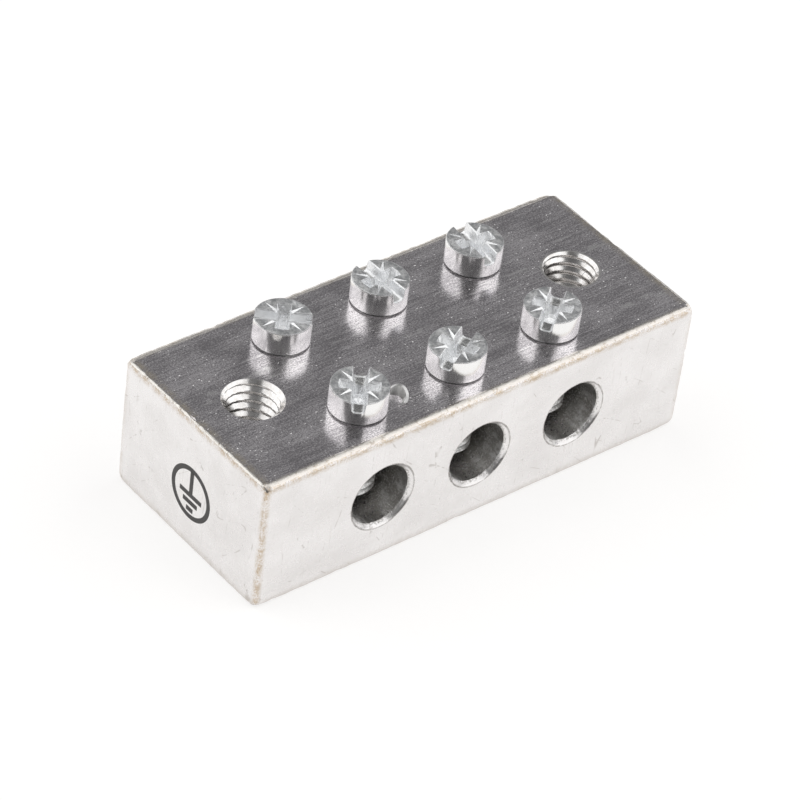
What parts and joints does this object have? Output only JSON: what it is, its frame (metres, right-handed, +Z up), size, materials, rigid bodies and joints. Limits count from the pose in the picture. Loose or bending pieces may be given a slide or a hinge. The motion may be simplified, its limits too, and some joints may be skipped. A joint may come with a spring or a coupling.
{
  "type": "earth terminal block",
  "caption": "Plated metal bar with cable bores through its side, slotted cross-recess clamp screws over each bore and a threaded mounting hole at each end, for joining earth wires.",
  "frame": {"origin": "middle of the underside", "axes": "+X along the bar to the right, +Y from the front face to the back face, +Z up through the screw heads"},
  "size_m": [0.0356, 0.015, 0.0118],
  "materials": {
    "nickel_plated_brass": "satin, brushed along its length",
    "zinc_plated_steel": "bright zinc plate"
  },
  "bodies": {
    "block": {"terminal_block": "nickel_plated_brass"},
    "screw_front_left": {"clamp_screw_front_left": "zinc_plated_steel"},
    "screw_front_middle": {"clamp_screw_front_middle": "zinc_plated_steel"},
    "screw_front_right": {"clamp_screw_front_right": "zinc_plated_steel"},
    "screw_back_left": {"clamp_screw_back_left": "zinc_plated_steel"},
    "screw_back_middle": {"clamp_screw_back_middle": "zinc_plated_steel"},
    "screw_back_right": {"clamp_screw_back_right": "zinc_plated_steel"}
  },
  "joints": [
    {"name": "clamp_front_left", "type": "slide", "parent": "block", "child": "screw_front_left", "axis": [0, 0, 1], "range_m": [-0.0001, 0.0038]},
    {"name": "clamp_front_middle", "type": "slide", "parent": "block", "child": "screw_front_middle", "axis": [0, 0, 1], "range_m": [-0.0001, 0.0038]},
    {"name": "clamp_front_right", "type": "slide", "parent": "block", "child": "screw_front_right", "axis": [0, 0, 1], "range_m": [-0.0001, 0.0038]},
    {"name": "clamp_back_left", "type": "slide", "parent": "block", "child": "screw_back_left", "axis": [0, 0, 1], "range_m": [-0.0001, 0.0038]},
    {"name": "clamp_back_middle", "type": "slide", "parent": "block", "child": "screw_back_middle", "axis": [0, 0, 1], "range_m": [-0.0001, 0.0038]},
    {"name": "clamp_back_right", "type": "slide", "parent": "block", "child": "screw_back_right", "axis": [0, 0, 1], "range_m": [-0.0001, 0.0038]}
  ]
}
